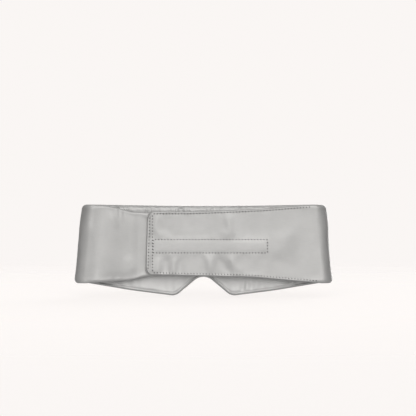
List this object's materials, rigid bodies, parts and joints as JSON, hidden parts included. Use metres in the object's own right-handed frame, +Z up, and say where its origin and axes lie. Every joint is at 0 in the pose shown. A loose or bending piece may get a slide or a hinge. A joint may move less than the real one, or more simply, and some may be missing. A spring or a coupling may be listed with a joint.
{
  "type": "sleep eye mask",
  "caption": "Wide padded satin sleep mask that wraps the head, with a nose notch, two side folds and overlapping straps that fasten behind with hook-and-loop tape.",
  "frame": {"origin": "middle of the head opening, half way between the two side folds and at half their height", "axes": "+Z up as worn; -Y is the way the wearer faces, so the outer face of the front panel looks along -Y and the straps lie at +Y; +X is the wearer's left"},
  "size_m": [0.2691, 0.0273, 0.0955],
  "materials": {
    "outer_silk": "silver-grey satin weave with a soft sheen",
    "lining_silk": "silver-grey satin, softer sheen",
    "padding": "off-white needled fibre",
    "blackout_liner": "matte black close-woven cloth",
    "fastening_tape": "grey nylon hook-and-loop tape",
    "sewing_thread": "light grey polyester thread"
  },
  "bodies": {
    "front_panel": {"front_outer_silk": "outer_silk", "front_lining_silk": "lining_silk", "front_padding": "padding", "front_blackout_liner": "blackout_liner", "left_fold_silk": "outer_silk", "left_fold_padding": "padding", "left_fold_lining": "lining_silk", "right_fold_silk": "outer_silk", "right_fold_padding": "padding", "right_fold_lining": "lining_silk"},
    "left_strap": {"left_strap_silk": "outer_silk", "left_strap_padding": "padding", "left_strap_lining": "lining_silk", "hook_tape": "fastening_tape", "hook_tape_stitching": "sewing_thread"},
    "right_strap": {"right_strap_silk": "outer_silk", "right_strap_interlining": "padding", "right_strap_lining": "lining_silk", "loop_tape": "fastening_tape", "loop_tape_stitching": "sewing_thread", "right_strap_top_stitching": "sewing_thread", "right_strap_bottom_stitching": "sewing_thread"},
    "pull_tab": {"pull_tab_silk": "outer_silk", "pull_tab_interlining": "padding", "pull_tab_lining": "lining_silk", "pull_tab_stitching": "sewing_thread"}
  },
  "joints": [
    {"name": "right_strap_swing", "type": "hinge", "parent": "front_panel", "child": "right_strap", "pos_m": [-0.1291, 0, 0], "axis": [0.1031, 0, 0.9947], "range_deg": [0, 150], "deforming": ["right_fold_silk", "right_fold_padding", "right_fold_lining"]},
    {"name": "left_strap_swing", "type": "hinge", "parent": "front_panel", "child": "left_strap", "pos_m": [0.1291, 0, 0], "axis": [0.1031, 0, -0.9947], "range_deg": [0, 150], "deforming": ["left_fold_silk", "left_fold_padding", "left_fold_lining"]},
    {"name": "pull_tab_lift", "type": "hinge", "parent": "right_strap", "child": "pull_tab", "pos_m": [0.0537, 0.012, 0], "axis": [0, 0, 1], "range_deg": [0, 60], "stiffness_Nm_per_rad": 0.0001}
  ],
  "couplings": [
    {"joint": "left_strap_swing", "follows": "right_strap_swing", "ratio": 1}
  ]
}
